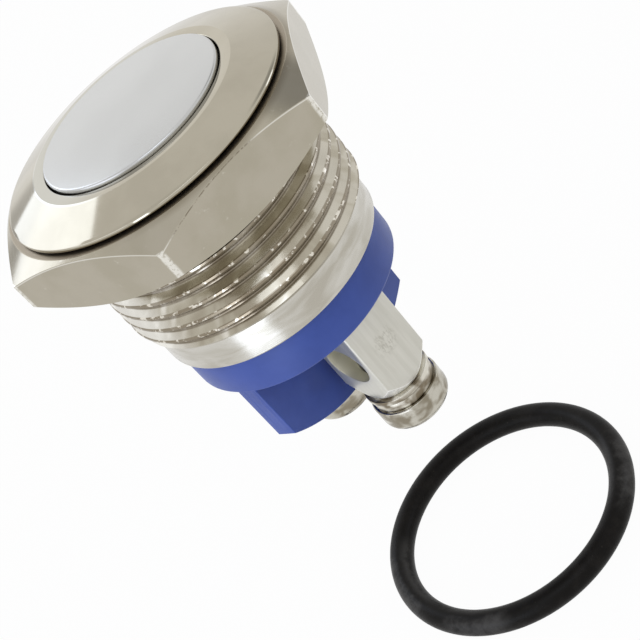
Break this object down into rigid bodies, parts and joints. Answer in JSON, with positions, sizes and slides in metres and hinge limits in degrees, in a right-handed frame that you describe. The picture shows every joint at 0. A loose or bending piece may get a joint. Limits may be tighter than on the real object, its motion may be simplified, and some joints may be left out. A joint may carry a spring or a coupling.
{
  "type": "panel push button switch",
  "caption": "Anti vandal push button: flat sprung metal button in a threaded panel housing with hex nut, seal ring and a moulded base with screw terminals.",
  "frame": {"origin": "centre of the flange's underside, in the plane of the panel that it seats on", "axes": "+Z along the push axis, out of the button's face; +X and +Y across the panel"},
  "size_m": [0.0216, 0.0206, 0.0412],
  "materials": {
    "housing_metal": "turned and nickel plated, satin",
    "button_metal": "fine satin",
    "nut_metal": "nickel plated",
    "terminal_metal": "silver plated, dull",
    "screw_metal": "zinc plated",
    "washer_metal": "zinc plated",
    "base_plastic": "moulded, blue",
    "insulator_plastic": "moulded, ivory",
    "spring_steel": "drawn wire",
    "contact_brass": "stamped",
    "contact_silver": "silver",
    "seal_rubber": "matt black"
  },
  "bodies": {
    "root": {"housing": "housing_metal", "return_spring": "spring_steel", "contact_carrier": "insulator_plastic", "base_seal": "seal_rubber", "terminal_base": "base_plastic", "terminal_front": "terminal_metal", "terminal_rear": "terminal_metal", "fixed_contact_front": "contact_silver", "fixed_contact_rear": "contact_silver", "panel_seal": "seal_rubber"},
    "button": {"button_cap": "button_metal", "button_seal": "seal_rubber", "plunger": "insulator_plastic", "contact_spring": "spring_steel", "contact_bridge": "contact_brass", "bridge_clip": "spring_steel"},
    "nut": {"mounting_nut": "nut_metal"},
    "front_screw": {"terminal_screw_front": "screw_metal", "split_washer_front": "washer_metal", "flat_washer_front": "washer_metal"},
    "rear_screw": {"terminal_screw_rear": "screw_metal", "split_washer_rear": "washer_metal", "flat_washer_rear": "washer_metal"}
  },
  "joints": [
    {"name": "button_press", "type": "slide", "parent": "root", "child": "button", "axis": [0, 0, -1], "range_m": [0, 0.0018], "stiffness_N_per_m": 1000, "springref_m": -0.002, "deforming": ["return_spring"]},
    {"name": "nut_travel", "type": "slide", "parent": "root", "child": "nut", "axis": [0, 0, -1], "range_m": [0, 0.0058]},
    {"name": "front_screw_travel", "type": "slide", "parent": "root", "child": "front_screw", "axis": [0, 0, -1], "range_m": [0, 0.0015]},
    {"name": "rear_screw_travel", "type": "slide", "parent": "root", "child": "rear_screw", "axis": [0, 0, -1], "range_m": [-0.001, 0.0005]}
  ]
}
